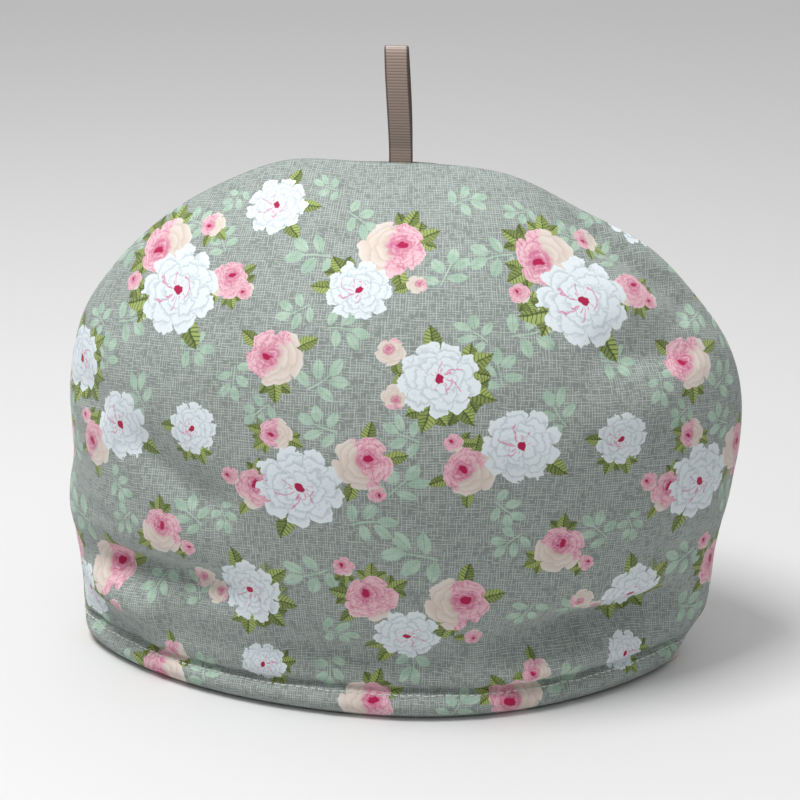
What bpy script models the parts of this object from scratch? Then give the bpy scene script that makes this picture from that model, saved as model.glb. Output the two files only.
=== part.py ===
"""Padded tea cosy: two quilted cotton panels seamed over the crown, and a ribbon loop.

Metres, +Z up. The hem stands on z = 0, the front faces -Y, and the origin is the
middle of the whole part's box on the floor. Sizes below are in millimetres.
"""

import math

import bmesh
import bpy
import numpy as np

MM = 0.001

# Driving dimensions of the cosy as it stands
CROWN = 215.0            # height of the seam at the top
SHOULDER = 105.0         # height where the seam is widest
LEFT_REACH = 139.5       # from the middle to the seam at the shoulder
RIGHT_REACH = 142.0
LEFT_ROUND = 1.88        # powers of the rounded upper corners, 2 is an ellipse
RIGHT_ROUND = 2.2
CROWN_LEAN = -20.0       # sideways shift of the arch at its top
WALL = 5.0               # printed cotton, wadding and lining together
SEAM_GAP = 0.3           # between the two panels
HEM_DRIFT_LEFT = 5.0     # how far the side seams wander back (+) or forward at the hem
HEM_DRIFT_RIGHT = -6.0
DRIFT_HEIGHT = 75.0

# Side seams below the shoulder, where the cloth is wavy
SIDE_SEAMS = (
    # height, left reach, right reach
    (0.0, 138.6, 120.5),
    (7.0, 139.6, 122.5),
    (14.0, 139.8, 126.0),
    (22.0, 139.6, 130.6),
    (35.0, 140.0, 133.0),
    (48.0, 141.0, 134.0),
    (60.0, 142.6, 136.0),
    (72.0, 141.6, 138.6),
    (84.0, 139.4, 140.2),
    (95.0, 139.4, 141.6),
    (SHOULDER, LEFT_REACH, RIGHT_REACH),
)

# Unevenness of the crown seam, by the angle up from the right shoulder
CROWN_SWELL = (
    # angle in degrees, reach as a ratio
    (0.0, 1.0),
    (18.0, 1.0),
    (30.0, 0.991),
    (42.0, 1.0),
    (53.0, 0.988),
    (65.0, 1.014),
    (76.0, 0.995),
    (88.0, 0.978),
    (101.0, 1.0),
    (112.0, 0.990),
    (128.0, 0.989),
    (146.0, 1.0),
    (157.0, 1.012),
    (168.0, 1.006),
    (180.0, 1.0),
)

SWELL_FADE = 3.0         # how quickly that unevenness dies away inside the seam

# How far the panels stand out from the seam, and how round their sections are
FULLNESS = (
    # height, front depth, back depth, left roundness, right roundness
    (0.0, 69.5, 66.0, 0.61, 0.80),
    (18.0, 70.5, 67.5, 0.62, 0.79),
    (32.0, 73.0, 69.5, 0.64, 0.76),
    (50.0, 75.5, 73.0, 0.66, 0.72),
    (70.0, 78.0, 75.5, 0.66, 0.69),
    (88.0, 79.0, 77.0, 0.66, 0.66),
    (SHOULDER, 79.0, 77.0, 0.66, 0.66),
    (140.0, 79.0, 77.0, 0.70, 0.70),
    (180.0, 79.0, 77.0, 0.80, 0.80),
    (CROWN, 79.0, 77.0, 0.92, 0.92),
)

# The turned hem: its lower edge, a soft roll, the stitched groove and the puff above it
HEM_RELIEF = (
    # height, half width, rise
    (0.0, 1.8, -2.2),
    (6.0, 4.2, 2.2),
    (12.0, 2.2, -2.4),
    (19.0, 5.0, 1.0),
)

# Troughs (rise below 0) and ridges of the front, in the plane of the seam
FRONT_FOLDS = (
    # from x, from z, to x, to z, bow, half width, rise
    (-139.0, 45.0, -42.0, 51.0, 3.0, 9.0, -5.5),
    (-137.0, 34.0, -88.0, 28.0, 4.0, 7.0, 4.0),
    (-137.0, 19.0, -98.0, 14.0, 1.0, 5.0, -3.2),
    (-112.0, 120.0, -50.0, 86.0, -5.0, 11.0, -3.0),
    (-138.0, 124.0, -112.0, 116.0, 0.0, 8.0, -2.2),
    (66.0, 193.0, 130.0, 147.0, 4.0, 5.0, -2.4),
    (72.0, 152.0, 124.0, 147.0, 2.0, 9.0, -2.6),
    (66.0, 127.0, 118.0, 126.0, 1.0, 10.0, 1.6),
    (130.0, 42.0, 60.0, 36.0, -4.0, 7.5, -4.5),
    (132.0, 27.0, 30.0, 28.0, 2.0, 11.0, -6.5),
    (94.0, 19.0, 34.0, 17.0, 1.0, 4.5, 2.4),
    (-54.0, 25.0, 46.0, 26.0, 0.0, 11.0, -4.2),
    (-40.0, 120.0, 50.0, 112.0, -6.0, 26.0, 1.6),
)
BACK_FOLDS = (
    (126.0, 48.0, 66.0, 36.0, -4.0, 9.0, -5.0),
    (-130.0, 40.0, -74.0, 30.0, 3.0, 8.0, -4.0),
    (-40.0, 26.0, 44.0, 24.0, 2.0, 12.0, -3.0),
    (-110.0, 96.0, -40.0, 84.0, 5.0, 14.0, -2.2),
    (30.0, 110.0, 118.0, 122.0, -6.0, 14.0, -2.2),
    (-60.0, 156.0, 40.0, 160.0, 4.0, 18.0, 1.6),
)

# How the relief of folds and hem dies away
RELIEF_FADE = 0.06       # share of the arch next to the seam
LEVEL_BELOW = 30.0       # height under which the wall is thickened level
STRAIGHT_WITHIN = 12.0   # depth from the seam within which the wall is thickened sideways

# Ribbon loop caught in the seam at the crown
RIBBON_WIDTH = 9.4
RIBBON_THICK = 0.8
LOOP_X = 0.8
LOOP_RISE = 44.2         # from the seam to the top of the loop
LOOP_TUCK = 4.4          # sewn in below the top of the seam
LOOP_OPENING = 8.0       # widest gap between the two legs
LOOP_LEAN = -1.3         # sideways, at the top
LOOP_FOOT = 3.0          # height over the seam where the two legs meet
LOOP_WAIST = 0.35        # how sharply the legs draw together, 0 is an ellipse
LOOP_JOIN = 0.3          # half turn, in radians, over which the legs lie together

# Gap in the crown seam that the ribbon holds open
SLOT_REACH = 19.0        # along the seam, from the ribbon's middle
SLOT_CLEAR = 1.6         # beside the ribbon before the gap starts to close
SLOT_DROP = 34.0         # below the crown
SLOT_RISE = 20.0
SLOT_DEPTH = 9.0

# Mesh steps
COLUMNS = 44
HEM_ROWS = (0.0, 2.2, 5.5, 9.0, 12.0, 15.0, 19.0, 25.0, 32.0, 40.0)
SIDE_ROWS = 7
CROWN_ROWS = 12
LOOP_STEPS = 44
COLUMN_CROWDING = 0.7    # 0 spaces the columns evenly, 1 crowds them to the seam
ROW_CROWDING = 0.6
SLOPE_STEP = 0.05        # for normals worked out by differences
SHARP_ANGLE = 50.0

PRINTED_COTTON = (0.42, 0.45, 0.43)
RIBBON_TAUPE = (0.20, 0.16, 0.14)


def clear_scene():
    """Remove every object that the file opened with."""
    for item in list(bpy.data.objects):
        bpy.data.objects.remove(item, do_unlink=True)


def read_table(rows, column, height):
    """Smooth curve through one column of a table, at a height or an array of them."""
    at = np.array([row[0] for row in rows])
    values = np.array([row[column] for row in rows])
    slopes = np.gradient(values, at)
    height = np.clip(height, at[0], at[-1])
    cell = np.clip(np.searchsorted(at, height, side="right") - 1, 0, len(at) - 2)
    span = at[cell + 1] - at[cell]
    t = (height - at[cell]) / span
    start = values[cell] * (1 + 2 * t) * (1 - t) ** 2
    end = values[cell + 1] * t * t * (3 - 2 * t)
    lean = span * (slopes[cell] * t * (1 - t) ** 2 + slopes[cell + 1] * t * t * (t - 1))
    return start + end + lean


def ease(value):
    """0 below 0, 1 above 1, and a smooth step between."""
    t = np.clip(value, 0.0, 1.0)
    return t * t * (3 - 2 * t)


def seam_reach(x, z):
    """Distance from the middle to the seam on the side of x, below the shoulder."""
    return np.where(x < 0, read_table(SIDE_SEAMS, 1, z), read_table(SIDE_SEAMS, 2, z))


def crown_swell(across, rise):
    """Reach of the uneven crown seam in one direction, 1 on its smooth curve."""
    return read_table(CROWN_SWELL, 1, np.degrees(np.arctan2(rise, across)))


def edge_ratio(x, z):
    """0 in the middle of the arch and 1 on its seam."""
    side = np.abs(x) / seam_reach(x, z)
    rise = np.clip((z - SHOULDER) / (CROWN - SHOULDER), 0.0, None)
    across = x - CROWN_LEAN * rise ** 2
    power = np.where(across < 0, LEFT_ROUND, RIGHT_ROUND)
    reach = np.where(across < 0, LEFT_REACH, RIGHT_REACH)
    even = ((np.abs(across) / reach) ** power + rise ** power) ** (1 / power)
    swell = crown_swell(across / reach, rise)
    crown = even / (1 + (swell - 1) * np.clip(even / swell, 0.0, 1.0) ** SWELL_FADE)
    return np.where(z < SHOULDER, side, crown)


def roundness(x, z):
    """Power that shapes a panel's section, on the side of x."""
    return np.where(x < 0, read_table(FULLNESS, 3, z), read_table(FULLNESS, 4, z))


def panel_depth(x, z, column):
    """How far a smooth panel stands out from the plane of the seam."""
    inside = np.clip(1 - edge_ratio(x, z) ** 2, 0.0, 1.0)
    return read_table(FULLNESS, column, z) * inside ** roundness(x, z)


def panel_normal(x, depth, z, column):
    """Unit normal of a smooth panel, with the depth counted outwards."""
    def level(px, pd, pz):
        full = read_table(FULLNESS, column, pz)
        return (np.abs(pd) / full) ** (1 / roundness(px, pz)) + edge_ratio(px, pz) ** 2

    slope = np.stack([
        level(x + SLOPE_STEP, depth, z) - level(x - SLOPE_STEP, depth, z),
        level(x, depth + SLOPE_STEP, z) - level(x, depth - SLOPE_STEP, z),
        level(x, depth, z + SLOPE_STEP) - level(x, depth, z - SLOPE_STEP),
    ], axis=-1)
    return unit(slope)


def unit(vectors):
    return vectors / np.maximum(np.linalg.norm(vectors, axis=-1, keepdims=True), 1e-9)


def fold_relief(x, z, folds):
    """Rise of the surface where troughs and ridges cross it."""
    rise = np.zeros_like(x)
    for x0, z0, x1, z1, bow, half_width, height in folds:
        along_x, along_z = x1 - x0, z1 - z0
        length = math.hypot(along_x, along_z)
        t = np.clip(((x - x0) * along_x + (z - z0) * along_z) / length ** 2, 0.0, 1.0)
        across = ((z - z0) * along_x - (x - x0) * along_z) / length
        across = across * np.sign(along_x) - bow * 4 * t * (1 - t)
        taper = ease(t / 0.3) * ease((1 - t) / 0.3)
        rise += height * taper * np.exp(-(across / half_width) ** 2)
    return rise


def hem_relief(z):
    """Outward relief of the hem, the same all the way along."""
    return sum(rise * np.exp(-((z - height) / half_width) ** 2) for height, half_width, rise in HEM_RELIEF)


def arch_grid():
    """Columns and rows of points that fill the arch inside the seam, as x and z."""
    turn = np.linspace(0.0, 1.0, COLUMNS + 1)
    u = -COLUMN_CROWDING * np.cos(math.pi * turn) + (1 - COLUMN_CROWDING) * (2 * turn - 1)
    side = np.linspace(HEM_ROWS[-1], SHOULDER, SIDE_ROWS + 1)[1:]
    climb = np.linspace(0.0, 1.0, CROWN_ROWS + 1)[1:]
    v = ROW_CROWDING * np.sin(math.pi / 2 * climb) + (1 - ROW_CROWDING) * climb

    low_z = np.concatenate([HEM_ROWS, side])
    low_u, low_z = np.meshgrid(u, low_z)
    low_x = low_u * seam_reach(low_u, low_z)

    # A square spread over a half disc, then stretched to the rounded crown
    top_u, top_v = np.meshgrid(u, v)
    disc_x = top_u * np.sqrt(1 - top_v ** 2 / 2)
    disc_z = top_v * np.sqrt(1 - top_u ** 2 / 2)
    radius = np.hypot(disc_x, disc_z)
    power = np.where(disc_x < 0, LEFT_ROUND, RIGHT_ROUND)
    reach = np.where(disc_x < 0, LEFT_REACH, RIGHT_REACH)
    stretch = radius / (np.abs(disc_x) ** power + disc_z ** power) ** (1 / power)
    stretch = stretch * crown_swell(disc_x, disc_z)
    rise = disc_z * stretch
    top_x = reach * disc_x * stretch + CROWN_LEAN * rise ** 2
    top_z = SHOULDER + (CROWN - SHOULDER) * rise
    return np.vstack([low_x, top_x]), np.vstack([low_z, top_z])


def slot_parting(x, depth, z):
    """How far each panel gives way to the two layers of the ribbon, at the crown."""
    beside = np.abs(x - LOOP_X) - RIBBON_WIDTH / 2 - SLOT_CLEAR
    held = 1 - ease(beside / (SLOT_REACH - RIBBON_WIDTH / 2))
    held = held * ease((z - CROWN + SLOT_DROP) / SLOT_RISE) * np.exp(-(depth / SLOT_DEPTH) ** 2)
    return held * (RIBBON_THICK + SEAM_GAP / 2)


def panel_sheets(column, folds):
    """Outer and inner faces of a panel as grids of x, depth and z."""
    x, z = arch_grid()
    depth = panel_depth(x, z, column)
    normal = panel_normal(x, depth, z, column)
    normal[..., 2] *= ease(z / LEVEL_BELOW)
    normal[..., 1] *= ease(depth / STRAIGHT_WITHIN)
    normal = unit(normal)

    inset = ease((1 - edge_ratio(x, z)) / RELIEF_FADE)
    relief = fold_relief(x, z, folds) * inset
    smooth = np.stack([x, depth, z], axis=-1) + normal * relief[..., None]
    outer = smooth + normal * (hem_relief(z) * inset)[..., None]
    inner = smooth - normal * WALL

    parting = slot_parting(x, depth, z)
    for sheet in (outer, inner):
        sheet[..., 1] = np.maximum(sheet[..., 1], 0.0) + SEAM_GAP / 2 + parting
    return outer, inner


def place(sheet, facing):
    """Turn x, depth and z into world points, with the drift of the hem."""
    points = sheet.copy()
    x, z = points[..., 0], points[..., 2]
    across = (x + LEFT_REACH) / (LEFT_REACH + RIGHT_REACH)
    drift = HEM_DRIFT_LEFT + (HEM_DRIFT_RIGHT - HEM_DRIFT_LEFT) * across
    points[..., 1] = facing * points[..., 1] + drift * (1 - ease(z / DRIFT_HEIGHT))
    return points * MM


def make_material(name, colour, roughness):
    material = bpy.data.materials.new(name)
    material.use_nodes = True
    shader = material.node_tree.nodes["Principled BSDF"]
    shader.inputs["Base Color"].default_value = (*colour, 1.0)
    shader.inputs["Roughness"].default_value = roughness
    shader.inputs["Metallic"].default_value = 0.0
    return material


def finish_object(name, mesh_builder, material):
    """Turn a bmesh into a named object with faces that point out."""
    bmesh.ops.recalc_face_normals(mesh_builder, faces=mesh_builder.faces)
    mesh = bpy.data.meshes.new(name)
    mesh_builder.to_mesh(mesh)
    mesh_builder.free()
    mesh.shade_smooth()
    mesh.set_sharp_from_angle(angle=math.radians(SHARP_ANGLE))
    mesh.materials.append(material)
    item = bpy.data.objects.new(name, mesh)
    bpy.context.collection.objects.link(item)
    return item


def make_panel(name, facing, column, folds, material):
    """One quilted panel: two sheets joined round the seam and under the hem."""
    outer, inner = (place(sheet, facing) for sheet in panel_sheets(column, folds))
    builder = bmesh.new()
    grids = []
    for sheet in (outer, inner):
        grids.append([[builder.verts.new(point) for point in row] for row in sheet])
    rows, columns = outer.shape[0], outer.shape[1]
    for grid in grids:
        for i in range(rows - 1):
            for j in range(columns - 1):
                builder.faces.new((grid[i][j], grid[i][j + 1], grid[i + 1][j + 1], grid[i + 1][j]))

    rim = [(0, j) for j in range(columns)]
    rim += [(i, columns - 1) for i in range(1, rows)]
    rim += [(rows - 1, j) for j in range(columns - 2, -1, -1)]
    rim += [(i, 0) for i in range(rows - 2, 0, -1)]
    for (i, j), (k, m) in zip(rim, rim[1:] + rim[:1]):
        builder.faces.new((grids[0][i][j], grids[0][k][m], grids[1][k][m], grids[1][i][j]))
    return finish_object(name, builder, material)


def loop_profile():
    """Inner and outer outlines of the ribbon loop, seen along x, as y and z."""
    top = CROWN + LOOP_RISE
    foot = CROWN + LOOP_FOOT
    middle = (top + foot) / 2
    half_height = (top - foot) / 2 - RIBBON_THICK
    turn = np.linspace(0.0, 2 * math.pi, LOOP_STEPS, endpoint=False)
    waist = ((1 - np.cos(turn)) / 2) ** LOOP_WAIST
    y = LOOP_OPENING / 2 * np.sin(turn) * waist
    z = middle - half_height * np.cos(turn)
    inner = np.stack([y, z], axis=-1)
    tangent = np.roll(inner, -1, axis=0) - np.roll(inner, 1, axis=0)
    outward = unit(np.stack([tangent[:, 1], -tangent[:, 0]], axis=-1))
    outer = inner + outward * RIBBON_THICK

    # Below the loop the two layers lie together and go down into the seam
    near_foot = np.abs((turn + math.pi) % (2 * math.pi) - math.pi) < LOOP_JOIN
    outer[near_foot, 0] = np.where(np.sin(turn[near_foot]) < 0, -RIBBON_THICK, RIBBON_THICK)
    outer[0] = (0.0, CROWN - LOOP_TUCK)
    outer[1] = (RIBBON_THICK, CROWN - LOOP_TUCK)
    outer[-1] = (-RIBBON_THICK, CROWN - LOOP_TUCK)
    return inner, outer


def make_loop(name, material):
    """Ribbon loop: the outline swept over the ribbon's width, leaning a little."""
    builder = bmesh.new()
    rings = []
    for side in (-1, 1):
        for outline in loop_profile():
            ring = []
            for y, z in outline:
                lean = LOOP_LEAN * max(0.0, z - CROWN) / LOOP_RISE
                x = LOOP_X + lean + side * RIBBON_WIDTH / 2
                ring.append(builder.verts.new((x * MM, y * MM, z * MM)))
            rings.append(ring)
    left_inner, left_outer, right_inner, right_outer = rings
    around = (left_inner, left_outer, right_outer, right_inner)
    for one, other in zip(around, around[1:] + around[:1]):
        for k in range(LOOP_STEPS):
            n = (k + 1) % LOOP_STEPS
            builder.faces.new((one[k], one[n], other[n], other[k]))
    return finish_object(name, builder, material)


def centre_on_floor(items):
    """Move the meshes so that the origin is the middle of their box on the floor."""
    points = np.array([vertex.co for item in items for vertex in item.data.vertices])
    low, high = points.min(axis=0), points.max(axis=0)
    shift = np.array([(low[0] + high[0]) / 2, (low[1] + high[1]) / 2, low[2]])
    for item in items:
        for vertex in item.data.vertices:
            vertex.co = [vertex.co[k] - shift[k] for k in range(3)]


def main():
    clear_scene()
    cotton_front = make_material("printed_cotton_front", PRINTED_COTTON, 0.88)
    cotton_back = make_material("printed_cotton_back", PRINTED_COTTON, 0.88)
    ribbon = make_material("grosgrain_ribbon", RIBBON_TAUPE, 0.6)
    front = make_panel("front_panel", -1, 1, FRONT_FOLDS, cotton_front)
    back = make_panel("back_panel", 1, 2, BACK_FOLDS, cotton_back)
    loop = make_loop("hanging_loop", ribbon)
    centre_on_floor((front, back, loop))


main()
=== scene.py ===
"""Looks of the padded tea cosy: printed cotton panels, a stitched hem and a ribbon loop.

Metres, +Z up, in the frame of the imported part. The shape is worked out in millimetres
from the cosy's own sizes, and its print is placed in millimetres of flat cloth.
"""

import math

import bpy
import numpy as np
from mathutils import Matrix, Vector


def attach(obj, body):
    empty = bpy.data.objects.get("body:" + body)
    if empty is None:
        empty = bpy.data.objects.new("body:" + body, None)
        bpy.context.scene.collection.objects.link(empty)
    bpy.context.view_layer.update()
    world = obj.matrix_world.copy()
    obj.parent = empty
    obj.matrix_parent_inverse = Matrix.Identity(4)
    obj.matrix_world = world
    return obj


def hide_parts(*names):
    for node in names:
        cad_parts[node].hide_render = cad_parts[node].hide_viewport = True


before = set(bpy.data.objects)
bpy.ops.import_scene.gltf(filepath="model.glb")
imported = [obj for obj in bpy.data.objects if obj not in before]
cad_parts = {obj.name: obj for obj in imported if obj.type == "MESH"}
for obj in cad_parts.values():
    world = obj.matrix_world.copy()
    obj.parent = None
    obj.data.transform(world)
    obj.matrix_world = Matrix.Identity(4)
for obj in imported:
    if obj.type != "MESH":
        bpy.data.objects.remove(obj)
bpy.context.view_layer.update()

MM = 0.001
TINY = 1e-9

# Driving sizes of the cosy in millimetres, as in its solids
CROWN = 215.0            # height of the seam at the top
SHOULDER = 105.0         # height where the seam is widest
LEFT_REACH = 139.5       # from the middle to the seam at the shoulder
RIGHT_REACH = 142.0
LEFT_ROUND = 1.88        # powers of the rounded upper corners, 2 is an ellipse
RIGHT_ROUND = 2.2
CROWN_LEAN = -20.0       # sideways shift of the arch at its top
WALL = 5.0               # printed cotton, wadding and lining together
SEAM_GAP = 0.3           # between the two panels
HEM_DRIFT_LEFT = 5.0     # how far the side seams wander back (+) or forward at the hem
HEM_DRIFT_RIGHT = -6.0
DRIFT_HEIGHT = 75.0

# Side seams below the shoulder, where the cloth is wavy
SIDE_SEAMS = (
    # height, left reach, right reach
    (0.0, 138.6, 120.5),
    (7.0, 139.6, 122.5),
    (14.0, 139.8, 126.0),
    (22.0, 139.6, 130.6),
    (35.0, 140.0, 133.0),
    (48.0, 141.0, 134.0),
    (60.0, 142.6, 136.0),
    (72.0, 141.6, 138.6),
    (84.0, 139.4, 140.2),
    (95.0, 139.4, 141.6),
    (SHOULDER, LEFT_REACH, RIGHT_REACH),
)

# Unevenness of the crown seam, by the angle up from the right shoulder
CROWN_SWELL = (
    # angle in degrees, reach as a ratio
    (0.0, 1.0),
    (18.0, 1.0),
    (30.0, 0.991),
    (42.0, 1.0),
    (53.0, 0.988),
    (65.0, 1.014),
    (76.0, 0.995),
    (88.0, 0.978),
    (101.0, 1.0),
    (112.0, 0.990),
    (128.0, 0.989),
    (146.0, 1.0),
    (157.0, 1.012),
    (168.0, 1.006),
    (180.0, 1.0),
)

SWELL_FADE = 3.0         # how quickly that unevenness dies away inside the seam

# How far the panels stand out from the seam, and how round their sections are
FULLNESS = (
    # height, front depth, back depth, left roundness, right roundness
    (0.0, 69.5, 66.0, 0.61, 0.80),
    (18.0, 70.5, 67.5, 0.62, 0.79),
    (32.0, 73.0, 69.5, 0.64, 0.76),
    (50.0, 75.5, 73.0, 0.66, 0.72),
    (70.0, 78.0, 75.5, 0.66, 0.69),
    (88.0, 79.0, 77.0, 0.66, 0.66),
    (SHOULDER, 79.0, 77.0, 0.66, 0.66),
    (140.0, 79.0, 77.0, 0.70, 0.70),
    (180.0, 79.0, 77.0, 0.80, 0.80),
    (CROWN, 79.0, 77.0, 0.92, 0.92),
)

# The turned hem: its lower edge, a soft roll, the stitched groove and the puff above it
HEM_RELIEF = (
    # height, half width, rise
    (0.0, 1.8, -2.2),
    (6.0, 4.2, 2.2),
    (12.0, 2.2, -2.4),
    (19.0, 5.0, 1.0),
)

# Troughs (rise below 0) and ridges of the front, in the plane of the seam
FRONT_FOLDS = (
    # from x, from z, to x, to z, bow, half width, rise
    (-139, 45, -42, 51, 3, 9, -5.5),
    (-137, 34, -88, 28, 4, 7, 4),
    (-137, 19, -98, 14, 1, 5, -3.2),
    (-112, 120, -50, 86, -5, 11, -3),
    (-138, 124, -112, 116, 0, 8, -2.2),
    (66, 193, 130, 147, 4, 5, -2.4),
    (72, 152, 124, 147, 2, 9, -2.6),
    (66, 127, 118, 126, 1, 10, 1.6),
    (130, 42, 60, 36, -4, 7.5, -4.5),
    (132, 27, 30, 28, 2, 11, -6.5),
    (94, 19, 34, 17, 1, 4.5, 2.4),
    (-54, 25, 46, 26, 0, 11, -4.2),
    (-40, 120, 50, 112, -6, 26, 1.6),
)
BACK_FOLDS = (
    (126, 48, 66, 36, -4, 9, -5),
    (-130, 40, -74, 30, 3, 8, -4),
    (-40, 26, 44, 24, 2, 12, -3),
    (-110, 96, -40, 84, 5, 14, -2.2),
    (30, 110, 118, 122, -6, 14, -2.2),
    (-60, 156, 40, 160, 4, 18, 1.6),
)

# How the relief of folds and hem dies away
RELIEF_FADE = 0.06       # share of the arch next to the seam
LEVEL_BELOW = 30.0       # height under which the wall is thickened level
STRAIGHT_WITHIN = 12.0   # depth from the seam within which the wall is thickened sideways

# Ribbon loop caught in the seam at the crown
RIBBON_WIDTH = 9.4
RIBBON_THICK = 0.8
LOOP_X = 0.8
LOOP_RISE = 44.2         # from the seam to the top of the loop
LOOP_TUCK = 4.4          # sewn in below the top of the seam
LOOP_OPENING = 8.0       # widest gap between the two legs
LOOP_LEAN = -1.3         # sideways, at the top
LOOP_FOOT = 3.0          # height over the seam where the two legs meet
LOOP_WAIST = 0.35        # how sharply the legs draw together, 0 is an ellipse

# Gap in the crown seam that the ribbon holds open
SLOT_REACH = 19.0        # along the seam, from the ribbon's middle
SLOT_CLEAR = 1.6         # beside the ribbon before the gap starts to close
SLOT_DROP = 34.0         # below the crown
SLOT_RISE = 20.0
SLOT_DEPTH = 9.0

# Steps of the solids' mesh, and of the cloth's finer one
SOLID_COLUMNS = 44
SOLID_HEM_ROWS = (0.0, 2.2, 5.5, 9.0, 12.0, 15.0, 19.0, 25.0, 32.0, 40.0)
SOLID_SIDE_ROWS = 7
SOLID_CROWN_ROWS = 12
COLUMNS = 220
HEM_STEP = 0.8
HEM_TOP = 24.0
SIDE_ROWS = 50
CROWN_ROWS = 60
COLUMN_CROWDING = 0.7    # 0 spaces the columns evenly, 1 crowds them to the seam
ROW_CROWDING = 0.6
SLOPE_STEP = 0.05        # for normals worked out by differences
STRIDE = 5               # the cloth is laid flat on every fifth row and column
FLAT_ROUNDS = 120
LOOSE = 1e-6             # weak pull that keeps the flat cloth in place
FLAT_START = 1.1         # first guess of the flat cloth against its shadow

# Creases of the cloth over the folds of its solids, in the plane of the seam
FRONT_CREASES = (
    # from x, from z, to x, to z, bow, half width, rise
    (138, 36, 14, 33, 3, 11, -3.3),
    (118, 50, 40, 52, -2, 9, 1.5),
    (100, 20, 40, 16, 2, 3, 1.2),
    (-60, 27, 40, 28, 0, 8, -2),
    (76, 0, 71.5, 12, 0, 1.5, -0.7),
    (-112, 112, -56, 88, -4, 6.5, -2),
    (-137, 45, -56, 50, 3, 6, -2.8),
    (-130, 30, -92, 26, 3, 4, 1.7),
    (56, 199, 133, 143, 5.5, 3, -2),
    (80, 148, 130, 141, 1, 4.5, -1.9),
    (100, 66, 130, 60, -2, 4, -1.2),
    (-134, 70, -104, 66, 1, 4, -1),
    (-30, 188, 30, 190, 2, 6, -0.8),
)
BACK_CREASES = (
    (124, 42, 70, 38, -3, 4, -1.6),
    (-126, 34, -80, 28, 2, 4, -1.4),
    (-60, 28, 50, 27, 0, 7, -1.6),
    (96, 92, 40, 84, 3, 6, -1.4),
    (-126, 150, -64, 196, 4, 3, -1),
)

# Fine relief of the cloth
HEM_STITCH = 12.0
HEM_GROOVE = 0.9         # depth the stitches draw the hem in, and its half width
HEM_GROOVE_HALF = 1.4
FRONT_SEED, BACK_SEED = 11, 23
UNEVEN_RISE = 0.30
UNEVEN_LENGTHS = (22.0, 60.0)
UNEVEN_WAVES = 7
PUCKER_RISE = 0.34
PUCKER_LENGTHS = (6.0, 14.0)
PUCKER_HALF = 5.5        # half width of the band of puckers along the hem
PUCKER_FOOT = 4.0        # height under which they die away
PUCKER_LEAN = 0.15       # how slowly they change upwards
PUCKER_WAVES = 6
SEAM_PUCKER_RISE = 0.30
SEAM_PUCKER_LENGTHS = (8.0, 17.0)

# Stitches of the hem
STITCH_HEIGHT = 10.4     # on the lower lip of the groove
STITCH_PITCH = 3.1
STITCH_LENGTH = 2.5
STITCH_MARGIN = 4.0
STITCH_RINGS = 7
STITCH_SIDES = 6
THREAD_RADIUS = 0.32
THREAD_THIN = 0.35       # share of its thickness where a stitch dives in
STITCH_ARCH = 0.50
STITCH_SINK = 0.12

# Ribbon detail
RIB_PITCH = 1.15
STEPS_PER_RIB = 6
RIB_RISE = 0.10
RIBBON_POINTS = 15       # across its width
RIBBON_ROUNDS = 12       # of smoothing along it
CORD_AT = 0.93           # middle of the edge cord, and its half width, in half widths of ribbon
CORD_HALF = 0.06
RIBS_END = 0.86
RIBS_FADE = 0.08
EDGE_THIN = 0.8          # how far the very edge closes
RIBBON_SWAY = 0.25
SWAY_HEIGHT = 11.0
LOOP_POINTS = 721
TUCK_POINTS = 12
TUCK_SHORT = 0.2         # the dressed ribbon ends this much above its solid
LEG_CLEAR = 0.03         # half the gap between the legs

# The print repeats sideways. Places are millimetres of flat cloth, across from the
# middle and up from the hem. Turn is in degrees, anticlockwise from the right.
REPEAT = 158.0
COPIES = 2               # of the repeat on each side of the first
PINK, HALF, PEACH = 0.05, 0.5, 0.95
PEONIES = (
    # across, up, radius, turn, leaf directions
    (-49, 223, 13, 20, (70, 0, -50)),
    (74, 184, 18, 75, (-60, 195)),
    (-10, 187, 12, 140, (130, 178)),
    (20, 153, 14, 10, (100, 28, -22, -55, -105)),
    (49, 128, 14, 200, (-32,)),
    (-71, 130, 10, 300, (178, -72, -110)),
    (-29, 109, 16, 45, (-112,)),
    (-54, 61, 14, 110, (103, 35, -12, -48, -96)),
    (10, 44, 13, 250, (205, 232)),
    (-51, 26, 9.5, 330, (5, -55)),
)
ROSES = (
    # across, up, radius, turn of the pink side, tint, leaf directions
    (1, 206, 13.5, 0, HALF, (62, 25, -75)),
    (-62, 189, 8.5, 30, PINK, (30, 225, 290)),
    (-38, 159, 11.5, 150, HALF, (145, 28, -88)),
    (61, 203, 13.5, 190, HALF, (145, 85, 215)),
    (31, 118, 10, 140, HALF, (200, -92, 78)),
    (-46, 107, 9, 60, PINK, (80, 235)),
    (-6, 120, 11, 12, HALF, (78, 14, -110)),
    (67, 85, 10.5, 60, HALF, (88, 208)),
    (29, 60, 13, 5, HALF, (78, 18, -108)),
    (-4, 62, 11, 100, PINK, (168, 88, 32, 222)),
    (56, 10, 12.5, 180, HALF, (128, 160)),
    (-7, 9, 12, 0, HALF, (70, 28)),
)
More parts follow.
